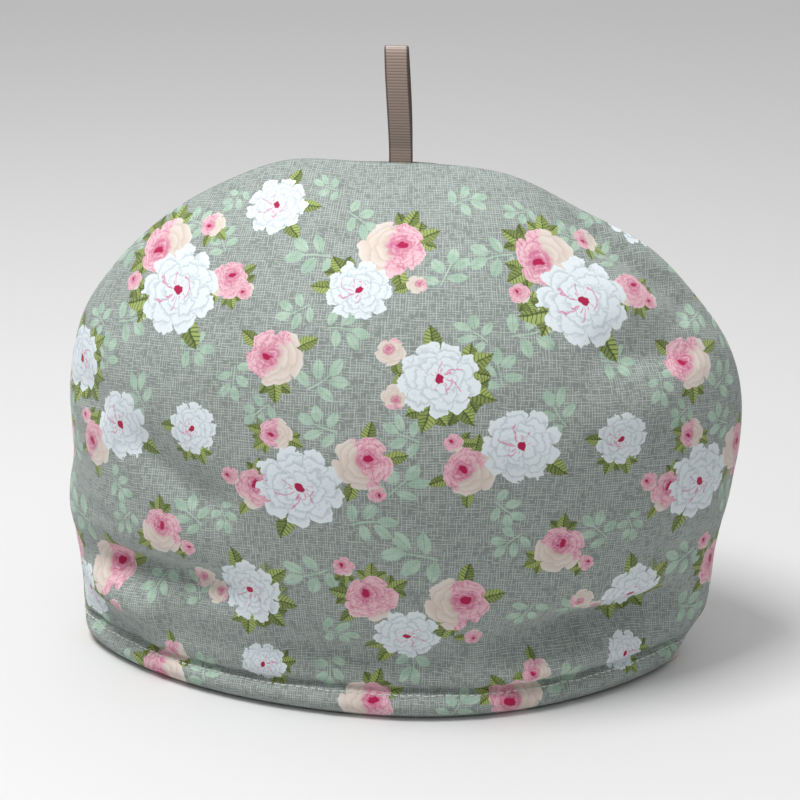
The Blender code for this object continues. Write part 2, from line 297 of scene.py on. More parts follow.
BUDS = (
    # across, up, radius, turn of the pink side, tint, leaf directions
    (82, 213, 6, 180, HALF, (-95, -40)),
    (-37, 130, 6.5, 170, HALF, (168, 215, -25)),
    (64, 24, 6.5, 150, HALF, (100, 185, -80)),
    (49, 187, 4.5, 120, PINK, (-60,)),
    (-54, 185, 4, 200, PINK, (100,)),
    (-14, 76, 4.5, 110, PINK, (-90,)),
    (37, 43, 4, 250, PINK, (180,)),
    (11, 190, 4, 0, PEACH, (200,)),
    (-56, 112, 4, 140, PINK, ()),
    (79, 79, 3.6, 0, PINK, (200,)),
    (-1, 108, 3.6, 300, PINK, ()),
    (25, 129, 3.6, 120, PINK, (0,)),
    (3, 163, 5.5, 90, PEACH, (-70,)),
    (5, 146, 5, 270, PEACH, (80,)),
    (80, 62, 5.5, 200, PEACH, ()),
    (-71, 56, 5, 0, PEACH, ()),
)
MINT_SPRIGS = (
    # across, up, radius, turn
    (-85, 214, 10, 60),
    (-70, 226, 8, 150),
    (-28, 234, 8, 80),
    (-13, 219, 10, 250),
    (-29, 200, 12, 100),
    (52, 172, 12, 280),
    (-72, 161, 10, 260),
    (-32, 178, 9, 110),
    (-14, 170, 10, 265),
    (62, 141, 10, 40),
    (-53, 150, 9, 190),
    (-21, 152, 11, 310),
    (-43, 138, 8, 120),
    (-20, 134, 10, 60),
    (31, 228, 10, 290),
    (53, 224, 8, 120),
    (22, 196, 11, 350),
    (41, 201, 12, 110),
    (32, 170, 9, 50),
    (41, 156, 10, 0),
    (90, 206, 9, 20),
    (9, 132, 9, 70),
    (7, 112, 11, 330),
    (45, 103, 9, 240),
    (48, 88, 9, 130),
    (82, 93, 10, 40),
    (-62, 94, 8, 200),
    (-4, 95, 11, 280),
    (-27, 72, 12, 120),
    (13, 81, 14, 90),
    (-82, 56, 9, 30),
    (-18, 45, 10, 250),
    (-23, 24, 9, 170),
    (78, 17, 11, 10),
    (12, 29, 10, 200),
    (31, 9, 10, 340),
    (58, 56, 10, 160),
)
LEAF_SHARE = 0.56        # radius of a leaf cluster against its flower's
LEAF_SMALLEST = 4.6
LEAF_OFFSET = 0.86       # from the flower's middle to a cluster's foot, in radii
LEAF_STEM = 0.35         # from its foot to its middle, in its own radii
LEAF_TINTS = (0.2, 0.7, 0.45)
PLAIN_TINT = 0.5


def ink(code):
    """Linear colour from a hex code as printed inks are usually given."""
    parts = [int(code[k:k + 2], 16) / 255 for k in (1, 3, 5)]
    return tuple(p / 12.92 if p <= 0.04045 else ((p + 0.055) / 1.055) ** 2.4 for p in parts) + (1.0,)


# Inks of the print, the plain inside, the ribbon and the thread
GROUND_GREY = ink("#7f8783")
GROUND_PALE = ink("#b1bab6")
MINT_PALE = ink("#b4d0ba")
MINT_DEEP = ink("#9cbda6")
LEAF_LIGHT = ink("#9dac64")
LEAF_DARK = ink("#36451c")
ROSE_PALE = ink("#e3c0c8")
ROSE_PINK = ink("#d8a1b0")
ROSE_DEEP = ink("#c2668a")
ROSE_SHADE = ink("#bd6f88")
PEACH_SHADE = ink("#bfa79c")
ROSE_CREAM = ink("#dbd4cd")
ROSE_PEACH = ink("#d0c1b6")
CRIMSON = ink("#a80c47")
STROKE_PINK = ink("#cd6f97")
PEONY_WHITE = ink("#d9e2e6")
PEONY_GREY = ink("#adb9c0")
INSIDE_CREAM = ink("#d9d4c8")
RIBBON_TAUPE = ink("#a39085")
# painted shade in the grooves between the ribbon's ribs
RIB_GROOVE_SHADE = ink("#6d5d53")
RIBBON_EDGE = ink("#40352e")
THREAD_GREY = ink("#d4d7d3")
FLOOR_WHITE = (0.66, 0.66, 0.66, 1.0)

# Ground's pale strokes and the weave of the cotton, in millimetres
STROKE_PITCH = 1.0
STROKE_DRIFT = 1.2       # how far a stroke strays sideways
WANDER_ALONG = 0.12
WANDER_ACROSS = 0.5
STROKE_BREAKS = 0.24     # how often a stroke ends
STROKE_COVER = (0.38, 0.54)
ROW_APART = 3.7          # gives each row breaks of its own
MOTTLE_SCALE = 0.12
THREAD_PITCH = 0.5
THREAD_RELIEF = 0.05

# Surfaces
COTTON_ROUGHNESS = 0.82
COTTON_SHEEN = 0.15
COTTON_GLOSS = 0.3
WEAVE_STRENGTH = 0.35
RIBBON_ROUGHNESS = 0.36
RIBBON_SHEEN = 0.35
RIB_SHADE = 0.75         # painted shade between the ribbon's ribs, and how dark its own edges are
EDGE_SHADE = 0.8
EDGE_BAND = (0.80, 0.90)
THREAD_ROUGHNESS = 0.7
MATT = 0.9

# Soft light, stronger from above
SKY_LOW = 0.06
SKY_OVERHEAD = 0.90
KEY_POWER = 17.0
SKY_BAND = (0.15, 0.95)  # heights between which the sky brightens
KEY_SIZE = 0.5
KEY_PLACE = (-0.38, -0.30, 1.40)
KEY_AIM = (0.0, 0.0, 0.1)
FLOOR_HALF = 6.0

# Heart of a rose and its rings of petals, in radii of the flower
ROSE_HEART = (0.26, 0.12)
ROSE_RINGS = (
    # petals, reach, depth of the notches, shift to the pink side
    (5, 0.98, 0.20, 0.00),
    (4, 0.80, 0.18, 0.08),
    (4, 0.62, 0.20, 0.15),
    (3, 0.44, 0.22, 0.20),
    (3, 0.29, 0.24, 0.24),
)
ROSE_SWIRL = 1.2         # twist of the petals
ROSE_TURN = 0.37         # from ring to ring, in petals
ROSE_SOFT = (0.0, 0.035)
ROSE_STROKES = (
    # stretch across, stretch up, shift of the pattern, how rare, ink
    (2.0, 6.5, 0.0, 0.50, ROSE_PALE),
    (6.5, 2.0, 9.0, 0.54, ROSE_DEEP),
)
PEONY_RINGS = (
    # petals, reach, depth of the notches
    (9, 1.04, 0.22),
    (7, 0.82, 0.24),
    (6, 0.60, 0.28),
    (5, 0.38, 0.32),
)
PEONY_TURN = 0.31
PEONY_SOFT = (0.0, 0.03)
PEONY_STROKES = (
    # strokes round the middle, reach, how thin
    (9.0, 0.24, 0.72),
    (7.0, 0.44, 0.91),
)
LEAF_FAN = (
    # middle, turn in degrees, half length, half width, lightness
    ((-0.20, 0.42), 52.0, 0.66, 0.42, 0.45),
    ((0.02, 0.0), 0.0, 0.82, 0.48, 0.80),
)
MINT_PAIRS = (
    # middle, turn in degrees, half length, half width
    ((0.40, 0.26), 40.0, 0.40, 0.24),
    ((0.42, -0.34), 8.0, 0.38, 0.22),
)
MINT_TIP = ((0.0, 0.62), 90.0, 0.38, 0.25)
MINT_TEETH = 0.20
MINT_SOFT = (0.0, 0.16)  # softness of its outline and its middle rib
STEM_HALF = 0.035
STEM_END = 0.6
STEM_BEND = 0.12
STEM_STAGGER = 0.13      # the leaves of one side sit higher than the other's
LEAF_TEETH = 0.16
LEAF_SOFT = (0.0, 0.12)
LEAF_VEINS = 4.5         # along half its length
VEIN_SLANT = 1.3
FAN_CHOICE = 0.381       # mixes fans and single leaves
FAN_SHARE = (0.40, 0.45)
MINT_COVER = 0.74        # the ground shows through a little

# Camera, in metres and degrees
CAMERA_DISTANCE = 0.80
CAMERA_SIDE = 5.0
CAMERA_UP = 20.0
CAMERA_TARGET = (0.0010, 0.0, 0.1120)
CAMERA_SENSOR = 36.0
CAMERA_LENS = 86.4


def read_table(rows, column, height):
    """Smooth curve through one column of a table, at a height or an array of them."""
    at = np.array([row[0] for row in rows])
    values = np.array([row[column] for row in rows])
    slopes = np.gradient(values, at)
    height = np.clip(height, at[0], at[-1])
    cell = np.clip(np.searchsorted(at, height, side="right") - 1, 0, len(at) - 2)
    span = at[cell + 1] - at[cell]
    t = (height - at[cell]) / span
    start = values[cell] * (1 + 2 * t) * (1 - t) ** 2
    end = values[cell + 1] * t * t * (3 - 2 * t)
    lean = span * (slopes[cell] * t * (1 - t) ** 2 + slopes[cell + 1] * t * t * (t - 1))
    return start + end + lean


def ease(value):
    """0 below 0, 1 above 1, and a smooth step between."""
    t = np.clip(value, 0.0, 1.0)
    return t * t * (3 - 2 * t)


def bell(away, half_width):
    """1 in the middle, and dying away smoothly on both sides."""
    return np.exp(-(away / half_width) ** 2)


def seam_reach(x, z):
    """Distance from the middle to the seam on the side of x, below the shoulder."""
    return np.where(x < 0, read_table(SIDE_SEAMS, 1, z), read_table(SIDE_SEAMS, 2, z))


def crown_swell(across, rise):
    """Reach of the uneven crown seam in one direction, 1 on its smooth curve."""
    return read_table(CROWN_SWELL, 1, np.degrees(np.arctan2(rise, across)))


def edge_ratio(x, z):
    """0 in the middle of the arch and 1 on its seam."""
    side = np.abs(x) / seam_reach(x, z)
    rise = np.clip((z - SHOULDER) / (CROWN - SHOULDER), 0.0, None)
    across = x - CROWN_LEAN * rise ** 2
    power = np.where(across < 0, LEFT_ROUND, RIGHT_ROUND)
    reach = np.where(across < 0, LEFT_REACH, RIGHT_REACH)
    even = ((np.abs(across) / reach) ** power + rise ** power) ** (1 / power)
    swell = crown_swell(across / reach, rise)
    crown = even / (1 + (swell - 1) * np.clip(even / swell, 0.0, 1.0) ** SWELL_FADE)
    return np.where(z < SHOULDER, side, crown)


def roundness(x, z):
    """Power that shapes a panel's section, on the side of x."""
    return np.where(x < 0, read_table(FULLNESS, 3, z), read_table(FULLNESS, 4, z))


def panel_depth(x, z, column):
    """How far a smooth panel stands out from the plane of the seam."""
    inside = np.clip(1 - edge_ratio(x, z) ** 2, 0.0, 1.0)
    return read_table(FULLNESS, column, z) * inside ** roundness(x, z)


def panel_normal(x, depth, z, column):
    """Unit normal of a smooth panel, with the depth counted outwards."""
    def level(px, pd, pz):
        """1 on the smooth panel, less inside it and more outside."""
        full = read_table(FULLNESS, column, pz)
        return (np.abs(pd) / full) ** (1 / roundness(px, pz)) + edge_ratio(px, pz) ** 2

    slope = np.stack([
        level(x + SLOPE_STEP, depth, z) - level(x - SLOPE_STEP, depth, z),
        level(x, depth + SLOPE_STEP, z) - level(x, depth - SLOPE_STEP, z),
        level(x, depth, z + SLOPE_STEP) - level(x, depth, z - SLOPE_STEP),
    ], axis=-1)
    return unit(slope)


def unit(vectors):
    """The same directions at length 1."""
    return vectors / np.maximum(np.linalg.norm(vectors, axis=-1, keepdims=True), TINY)


def fold_relief(x, z, folds):
    """Rise of the surface where troughs and ridges cross it."""
    rise = np.zeros_like(x)
    for x0, z0, x1, z1, bow, half_width, height in folds:
        along_x, along_z = x1 - x0, z1 - z0
        length = math.hypot(along_x, along_z)
        t = np.clip(((x - x0) * along_x + (z - z0) * along_z) / length ** 2, 0.0, 1.0)
        across = ((z - z0) * along_x - (x - x0) * along_z) / length
        across = across * np.sign(along_x) - bow * 4 * t * (1 - t)
        taper = ease(t / 0.3) * ease((1 - t) / 0.3)
        rise += height * taper * bell(across, half_width)
    return rise


def hem_relief(z):
    """Outward relief of the hem, the same all the way along."""
    return sum(rise * bell(z - height, half_width) for height, half_width, rise in HEM_RELIEF)


def arch_grid(columns, low_rows, crown_rows):
    """Columns and rows of points that fill the arch inside the seam, as x and z."""
    turn = np.linspace(0.0, 1.0, columns + 1)
    u = -COLUMN_CROWDING * np.cos(math.pi * turn) + (1 - COLUMN_CROWDING) * (2 * turn - 1)
    climb = np.linspace(0.0, 1.0, crown_rows + 1)[1:]
    v = ROW_CROWDING * np.sin(math.pi / 2 * climb) + (1 - ROW_CROWDING) * climb
    low_u, low_z = np.meshgrid(u, low_rows)
    low_x = low_u * seam_reach(low_u, low_z)

    # A square spread over a half disc, then stretched to the rounded crown
    top_u, top_v = np.meshgrid(u, v)
    disc_x = top_u * np.sqrt(1 - top_v ** 2 / 2)
    disc_z = top_v * np.sqrt(1 - top_u ** 2 / 2)
    radius = np.hypot(disc_x, disc_z)
    power = np.where(disc_x < 0, LEFT_ROUND, RIGHT_ROUND)
    reach = np.where(disc_x < 0, LEFT_REACH, RIGHT_REACH)
    stretch = radius / (np.abs(disc_x) ** power + disc_z ** power) ** (1 / power)
    stretch = stretch * crown_swell(disc_x, disc_z)
    rise = disc_z * stretch
    top_x = reach * disc_x * stretch + CROWN_LEAN * rise ** 2
    top_z = SHOULDER + (CROWN - SHOULDER) * rise
    return np.vstack([low_x, top_x]), np.vstack([low_z, top_z])


def solid_grid():
    """The grid of the solids, which says where the middle of the part's box is."""
    side = np.linspace(SOLID_HEM_ROWS[-1], SHOULDER, SOLID_SIDE_ROWS + 1)[1:]
    return arch_grid(SOLID_COLUMNS, np.concatenate([SOLID_HEM_ROWS, side]), SOLID_CROWN_ROWS)


def cloth_grid():
    """The finer grid of the cloth."""
    hem = np.arange(0.0, HEM_TOP, HEM_STEP)
    side = np.linspace(HEM_TOP, SHOULDER, SIDE_ROWS + 1)
    return arch_grid(COLUMNS, np.concatenate([hem, side]), CROWN_ROWS)


def slot_parting(x, depth, z):
    """How far each panel gives way to the two layers of the ribbon, at the crown."""
    beside = np.abs(x - LOOP_X) - RIBBON_WIDTH / 2 - SLOT_CLEAR
    held = 1 - ease(beside / (SLOT_REACH - RIBBON_WIDTH / 2))
    held = held * ease((z - CROWN + SLOT_DROP) / SLOT_RISE) * bell(depth, SLOT_DEPTH)
    return held * (RIBBON_THICK + SEAM_GAP / 2)


def panel_sheets(grid, column, folds, detail=None):
    """Outer and inner faces of a panel as grids of x, depth and z."""
    x, z = grid
    depth = panel_depth(x, z, column)
    normal = panel_normal(x, depth, z, column)
    normal[..., 2] *= ease(z / LEVEL_BELOW)
    normal[..., 1] *= ease(depth / STRAIGHT_WITHIN)
    normal = unit(normal)

    inset = ease((1 - edge_ratio(x, z)) / RELIEF_FADE)
    relief = fold_relief(x, z, folds) * inset
    smooth = np.stack([x, depth, z], axis=-1) + normal * relief[..., None]
    outside = hem_relief(z) * inset
    if detail is not None:
        outside = outside + detail(x, z)
    outer = smooth + normal * outside[..., None]
    inner = smooth - normal * WALL
    parting = slot_parting(x, depth, z)
    for sheet in (outer, inner):
        sheet[..., 1] = np.maximum(sheet[..., 1], 0.0) + SEAM_GAP / 2 + parting
    return outer, inner


def place(sheet, facing):
    """Turn x, depth and z into millimetres in space, with the drift of the hem."""
    points = sheet.copy()
    x, z = points[..., 0], points[..., 2]
    across = (x + LEFT_REACH) / (LEFT_REACH + RIGHT_REACH)
    drift = HEM_DRIFT_LEFT + (HEM_DRIFT_RIGHT - HEM_DRIFT_LEFT) * across
    points[..., 1] = facing * points[..., 1] + drift * (1 - ease(z / DRIFT_HEIGHT))
    return points


def middle_of_solids():
    """Where the middle of the part's box lies, in the millimetres of the shape."""
    grid = solid_grid()
    front = place(panel_sheets(grid, 1, FRONT_FOLDS)[0], -1).reshape(-1, 3)
    back = place(panel_sheets(grid, 2, BACK_FOLDS)[0], 1).reshape(-1, 3)
    points = np.vstack([front, back])
    middle = (points.min(axis=0) + points.max(axis=0)) / 2
    return np.array([middle[0], middle[1], 0.0])


MIDDLE = middle_of_solids()


def waves(x, z, seed, count, shortest, longest):
    """Smooth unevenness of about unit height: a few crossing waves of chosen lengths."""
    random = np.random.default_rng(seed)
    total = np.zeros_like(x)
    for _ in range(count):
        angle = random.uniform(0, 2 * math.pi)
        length = random.uniform(shortest, longest)
        phase = random.uniform(0, 2 * math.pi)
        along = x * math.cos(angle) + z * math.sin(angle)
        total += np.sin(2 * math.pi * along / length + phase)
    return total / math.sqrt(count)


def cloth_detail(creases, seed):
    """Fine relief of the outer cloth: creases, unevenness, and puckers at hem and seam."""
    def detail(x, z):
        """Rise of the fine relief at places in the plane of the seam."""
        ratio = edge_ratio(x, z)
        inset = ease((1 - ratio) / (RELIEF_FADE / 2))
        uneven = UNEVEN_RISE * waves(x, z, seed, UNEVEN_WAVES, *UNEVEN_LENGTHS) * ease(z / LEVEL_BELOW)
        ripple = waves(x, z * PUCKER_LEAN, seed + 1, PUCKER_WAVES, *PUCKER_LENGTHS)
        band = bell(z - HEM_STITCH, PUCKER_HALF) * ease(z / PUCKER_FOOT)
        hem = PUCKER_RISE * ripple * band
        round_seam = np.arctan2(z - SHOULDER * 0.6, x) * LEFT_REACH
        gathers = waves(round_seam, np.zeros_like(z), seed + 2, PUCKER_WAVES, *SEAM_PUCKER_LENGTHS)
        seam = SEAM_PUCKER_RISE * gathers * bell(1 - ratio, RELIEF_FADE) * ease(z / LEVEL_BELOW)
        groove = -HEM_GROOVE * bell(z - HEM_STITCH, HEM_GROOVE_HALF)
        return (fold_relief(x, z, creases) + uneven + hem + groove + seam) * inset
    return detail


def lay_flat(points):
    """Flat copy of a grid of cloth whose edges keep their lengths as well as they can."""
    rows, columns = points.shape[:2]
    index = np.arange(rows * columns).reshape(rows, columns)
    pairs = (
        (index[:, :-1], index[:, 1:]),
        (index[:-1], index[1:]),
        (index[:-1, :-1], index[1:, 1:]),
        (index[:-1, 1:], index[1:, :-1]),
    )
    start = np.concatenate([one.ravel() for one, other in pairs])
    end = np.concatenate([other.ravel() for one, other in pairs])
    space = points.reshape(-1, 3)
    rest = np.linalg.norm(space[end] - space[start], axis=1)
    weight = (rest.mean() / rest) ** 2

    # Each round turns the edges to their true lengths and solves for the points
    count = rows * columns
    pull = np.eye(count) * LOOSE
    for i, j, sign in ((start, start, 1), (end, end, 1), (start, end, -1), (end, start, -1)):
        np.add.at(pull, (i, j), sign * weight)
    solve = np.linalg.inv(pull)
    flat = space[:, [0, 2]] * FLAT_START
    for _ in range(FLAT_ROUNDS):
        edge = flat[end] - flat[start]
        edge = edge * (rest * weight / np.linalg.norm(edge, axis=1))[:, None]
        force = np.zeros_like(flat)
        np.add.at(force, end, edge)
        np.add.at(force, start, -edge)
        flat = solve @ force
    return stand_upright(flat.reshape(rows, columns, 2))


def stand_upright(flat):
    """Bring the middle of the hem to the origin, with the middle column upright over it."""
    rows, columns = flat.shape[:2]
    spine = flat[:, columns // 2]
    rise = spine[rows // 2] - spine[0]
    lean = math.atan2(rise[0], rise[1])
    turn = np.array([[math.cos(lean), -math.sin(lean)], [math.sin(lean), math.cos(lean)]])
    return (flat - spine[0]) @ turn.T


def spread(coarse, rows, columns):
    """Fill a coarse grid in to every row and column."""
    i, j = np.arange(rows) / STRIDE, np.arange(columns) / STRIDE
    a = np.minimum(i.astype(int), coarse.shape[0] - 2)
    b = np.minimum(j.astype(int), coarse.shape[1] - 2)
    down = (i - a)[:, None, None]
    along = (j - b)[None, :, None]
    left = coarse[a][:, b] * (1 - down) + coarse[a + 1][:, b] * down
    right = coarse[a][:, b + 1] * (1 - down) + coarse[a + 1][:, b + 1] * down
    return left * (1 - along) + right * along


def build_mesh(name, points, faces, looks=None):
    """A mesh object from points in metres and four-cornered faces."""
    mesh = bpy.data.meshes.new(name)
    mesh.vertices.add(len(points))
    mesh.vertices.foreach_set("co", np.asarray(points, np.float32).ravel())
    mesh.loops.add(faces.size)
    mesh.loops.foreach_set("vertex_index", faces.ravel().astype(np.int32))
    mesh.polygons.add(len(faces))
    mesh.polygons.foreach_set("loop_start", np.arange(0, faces.size, 4, dtype=np.int32))
    if looks is not None:
        mesh.polygons.foreach_set("material_index", looks.astype(np.int32))
    mesh.update(calc_edges=True)
    mesh.shade_smooth()
    item = bpy.data.objects.new(name, mesh)
    bpy.context.collection.objects.link(item)
    return item


def add_cloth_map(item, places):
    """Store where each corner lies on the flat cloth."""
    layer = item.data.uv_layers.new(name="cloth")
    layer.data.foreach_set("uv", places.astype(np.float32).ravel())


def grid_faces(rows, columns, start, flip):
    """Four-cornered faces of a grid of points that begins at index start."""
    corner = start + np.arange(rows * columns).reshape(rows, columns)
    around = [corner[:-1, :-1], corner[:-1, 1:], corner[1:, 1:], corner[1:, :-1]]
    quads = np.stack(around, axis=-1).reshape(-1, 4)
    return quads[:, ::-1] if flip else quads


def rim_loop(rows, columns):
    """Indices round the edge of a grid of points."""
    corner = np.arange(rows * columns).reshape(rows, columns)
    return np.concatenate([corner[0, :-1], corner[:-1, -1], corner[-1, :0:-1], corner[:0:-1, 0]])


def leaf_rows(flowers, direction_column):
    """Leaf clusters round the flowers: across, up, radius, turn and tint."""
    rows = []
    for flower in flowers:
        across, up, radius = flower[:3]
        size = max(LEAF_SMALLEST, radius * LEAF_SHARE)
        for k, direction in enumerate(flower[direction_column]):
            angle = math.radians(direction)
            reach = radius * LEAF_OFFSET + size * LEAF_STEM
            rows.append((
                across + reach * math.cos(angle),
                up + reach * math.sin(angle),
                size,
                direction,
                LEAF_TINTS[k % len(LEAF_TINTS)],
            ))
    return rows


def print_layers():
    """The motifs of each layer of the print: across, up, radius, turn and tint."""
    leaves = leaf_rows(PEONIES, 4) + leaf_rows(ROSES, 5) + leaf_rows(BUDS, 5)
    return {
        "mint": [row + (PLAIN_TINT,) for row in MINT_SPRIGS],
        "leaf_low": leaves[0::2],
        "leaf_high": leaves[1::2],
        "rose": [row[:5] for row in ROSES],
        "bud": [row[:5] for row in BUDS],
        "peony": [row[:4] + (PLAIN_TINT,) for row in PEONIES],
    }


def add_print(mesh, corner_places, face_places):
    """Give each corner its place in the nearest motif of each layer, in motif radii."""
    for layer, rows in print_layers().items():
        motifs = np.array([
            (row[0] + shift * REPEAT, *row[1:], number)
            for shift in range(-COPIES, COPIES + 1) for number, row in enumerate(rows)
        ])
        away = np.hypot(
            face_places[:, None, 0] - motifs[None, :, 0],
            face_places[:, None, 1] - motifs[None, :, 1],
        ) / motifs[None, :, 2]
        own = motifs[away.argmin(axis=1)][:, None, :]
        turn = np.radians(own[..., 3])
        across = (corner_places[..., 0] - own[..., 0]) / own[..., 2]
        up = (corner_places[..., 1] - own[..., 1]) / own[..., 2]
        values = np.stack([
            across * np.cos(turn) + up * np.sin(turn),
            up * np.cos(turn) - across * np.sin(turn),
            np.broadcast_to(own[..., 5] + own[..., 4], across.shape),
        ], axis=-1)
        attribute = mesh.attributes.new(f"{layer}_place", "FLOAT_VECTOR", "CORNER")
        attribute.data.foreach_set("vector", values.astype(np.float32).ravel())


def wall_faces(rows, columns, facing):
    """Faces of a closed wall: its outer and inner sides, then the rim between them."""
    count = rows * columns
    rim = rim_loop(rows, columns)
    after = np.roll(rim, -1)
    rim_quads = np.stack([rim, rim + count, after + count, after], axis=-1)
    if facing > 0:
        rim_quads = rim_quads[:, ::-1]
    return np.vstack([
        grid_faces(rows, columns, 0, facing > 0),
        grid_faces(rows, columns, count, facing < 0),
        rim_quads,
    ])


def make_panel(name, facing, column, folds, creases, seed):
    """Printed cotton over wadding, with its plain inside: one closed wall."""
    outer, inner = panel_sheets(cloth_grid(), column, folds, cloth_detail(creases, seed))
    outer, inner = place(outer, facing) - MIDDLE, place(inner, facing) - MIDDLE
    rows, columns = outer.shape[:2]
    faces = wall_faces(rows, columns, facing)
    quads = (rows - 1) * (columns - 1)
    looks = np.zeros(len(faces), int)
    looks[quads:2 * quads] = 1
    points = np.vstack([outer.reshape(-1, 3), inner.reshape(-1, 3)]) * MM
    item = build_mesh(name, points, faces, looks)

    flat = spread(lay_flat(outer[::STRIDE, ::STRIDE]), rows, columns)
    if facing > 0:
        flat[..., 0] *= -1
    places = np.vstack([flat.reshape(-1, 2)] * 2)[faces]
    add_cloth_map(item, places)
    add_print(item.data, places, places.mean(axis=1))
    return item, outer


def loop_path():
    """Middle line of the ribbon seen along x, as y and z in millimetres."""
    top, foot = CROWN + LOOP_RISE, CROWN + LOOP_FOOT
    middle = (top + foot) / 2
    half_height = (top - foot) / 2 - RIBBON_THICK / 2
    lying = RIBBON_THICK / 2 + LEG_CLEAR
    turn = np.linspace(0.0, 2 * math.pi, LOOP_POINTS)
    waist = ((1 - np.cos(turn)) / 2) ** LOOP_WAIST
    y = (LOOP_OPENING + RIBBON_THICK) / 2 * np.sin(turn) * waist
    z = middle - half_height * np.cos(turn)
    low = ease((1 + np.cos(turn)) / 1.2) * lying
    y = np.sign(np.sin(turn)) * np.hypot(y, low)
    keep = z > foot + 0.6
    y, z = y[keep], z[keep]
    ends = np.linspace(CROWN - LOOP_TUCK + TUCK_SHORT, z[0] - 0.4, TUCK_POINTS)
    y = np.concatenate([np.full(TUCK_POINTS, lying), y, np.full(TUCK_POINTS, -lying)])
    z = np.concatenate([ends, z, ends[::-1]])
    return y, z


def ribbon_line():
    """Lengths walked along the ribbon's middle line in even steps, with their y and z."""
    y, z = loop_path()
    walked = np.concatenate([[0.0], np.cumsum(np.hypot(np.diff(y), np.diff(z)))])
    steps = int(round(walked[-1] / RIB_PITCH)) * STEPS_PER_RIB
    at = np.linspace(0.0, walked[-1], steps + 1)
    y, z = np.interp(at, walked, y), np.interp(at, walked, z)
    for _ in range(RIBBON_ROUNDS):
        y[1:-1] = (y[:-2] + 2 * y[1:-1] + y[2:]) / 4
        z[1:-1] = (z[:-2] + 2 * z[1:-1] + z[2:]) / 4
    return at, y, z


def ribbon_thickness(across, count):
    """Half thickness over the ribbon's width: ribs in the middle and a cord at each edge."""
    half = RIBBON_THICK / 2 - RIB_RISE
    cord = RIB_RISE * bell(np.abs(across) - CORD_AT, CORD_HALF)
    edge = cord - half * EDGE_THIN * (np.abs(across) > 0.99)
    rib = RIB_RISE * (0.5 - 0.5 * np.cos(2 * math.pi * np.arange(count) / STEPS_PER_RIB))
    ribbed = 1 - ease((np.abs(across) - RIBS_END) / RIBS_FADE)
    return half + edge[None, :] + rib[:, None] * ribbed[None, :]


def strip_faces(rows, columns):
    """Faces of a closed strip: its walls all round, and a cap of quads at each end."""
    corner = np.arange(rows * columns).reshape(rows, columns)
    beside = np.roll(corner, -1, axis=1)
    walls = np.stack([corner[:-1], beside[:-1], beside[1:], corner[1:]], axis=-1).reshape(-1, 4)
    caps = []
    for row, flip in ((corner[0], True), (corner[-1], False)):
        for k in range(columns // 2 - 1):
            quad = [row[k], row[k + 1], row[columns - 2 - k], row[columns - 1 - k]]
            caps.append(quad[::-1] if flip else quad)
    return np.vstack([walls, np.array(caps)])


def make_ribbon(name):
    """Grosgrain loop: a strip with crosswise ribs and corded edges."""
    at, y, z = ribbon_line()
    tangent = np.stack([np.gradient(y), np.gradient(z)], axis=-1)
    normal = unit(np.stack([tangent[:, 1], -tangent[:, 0]], axis=-1))
    across = np.linspace(-1.0, 1.0, RIBBON_POINTS)
    thick = ribbon_thickness(across, len(at))
    lean = LOOP_LEAN * np.clip(z - CROWN, 0, None) / LOOP_RISE
    lean = lean + RIBBON_SWAY * np.sin(z / SWAY_HEIGHT)
    sides = []
    for side in (1, -1):
        x = LOOP_X + lean[:, None] + across[None, ::side] * RIBBON_WIDTH / 2
        offset = side * thick[:, ::side]
        sides.append(np.stack([
            x,
            y[:, None] + offset * normal[:, None, 0],
            z[:, None] + offset * normal[:, None, 1],
        ], axis=-1))
    ring = np.concatenate(sides, axis=1)
    faces = strip_faces(*ring.shape[:2])
    item = build_mesh(name, (ring.reshape(-1, 3) - MIDDLE) * MM, faces)

    # Flat ribbon: across from -1 to 1, and along in millimetres
    flat = np.stack(np.broadcast_arrays(
        np.concatenate([across, across[::-1]])[None, :], at[:, None]), axis=-1)
    add_cloth_map(item, flat.reshape(-1, 2)[faces])
    return item


def make_stitches(name, hem_line, facing):
    """Run of lock stitches: short arched threads along the groove of the hem."""
    step = np.linalg.norm(np.diff(hem_line, axis=0), axis=1)
    walked = np.concatenate([[0.0], np.cumsum(step)])
    count = int((walked[-1] - 2 * STITCH_MARGIN) / STITCH_PITCH)
    along = np.linspace(0.0, 1.0, STITCH_RINGS)
    around = np.linspace(0.0, 2 * math.pi, STITCH_SIDES, endpoint=False)
    points, faces = [], []
    for k in range(count):
        at = STITCH_MARGIN + k * STITCH_PITCH + along * STITCH_LENGTH
        middle = np.stack([np.interp(at, walked, hem_line[:, axis]) for axis in range(3)], axis=-1)
        tangent = unit(middle[-1] - middle[0])
        outward = unit(np.cross(tangent, (0.0, 0.0, 1.0)))
        outward = outward * (1 if outward[1] * facing > 0 else -1)
        upward = np.cross(tangent, outward)
        arch = np.sin(math.pi * along)
        middle = middle + outward * (arch * STITCH_ARCH - STITCH_SINK)[:, None]
        thick = THREAD_RADIUS * (THREAD_THIN + (1 - THREAD_THIN) * arch ** 0.5)
        ring = middle[:, None, :] + thick[:, None, None] * (
            np.cos(around)[None, :, None] * outward + np.sin(around)[None, :, None] * upward)
        start = len(points) * STITCH_RINGS * STITCH_SIDES
        corner = start + np.arange(STITCH_RINGS * STITCH_SIDES).reshape(STITCH_RINGS, STITCH_SIDES)
        beside = np.roll(corner, -1, axis=1)
        walls = np.stack([corner[:-1], corner[1:], beside[1:], beside[:-1]], axis=-1)
        faces.append(walls.reshape(-1, 4))
        points.append(ring.reshape(-1, 3))
    return build_mesh(name, np.vstack(points) * MM, np.vstack(faces))


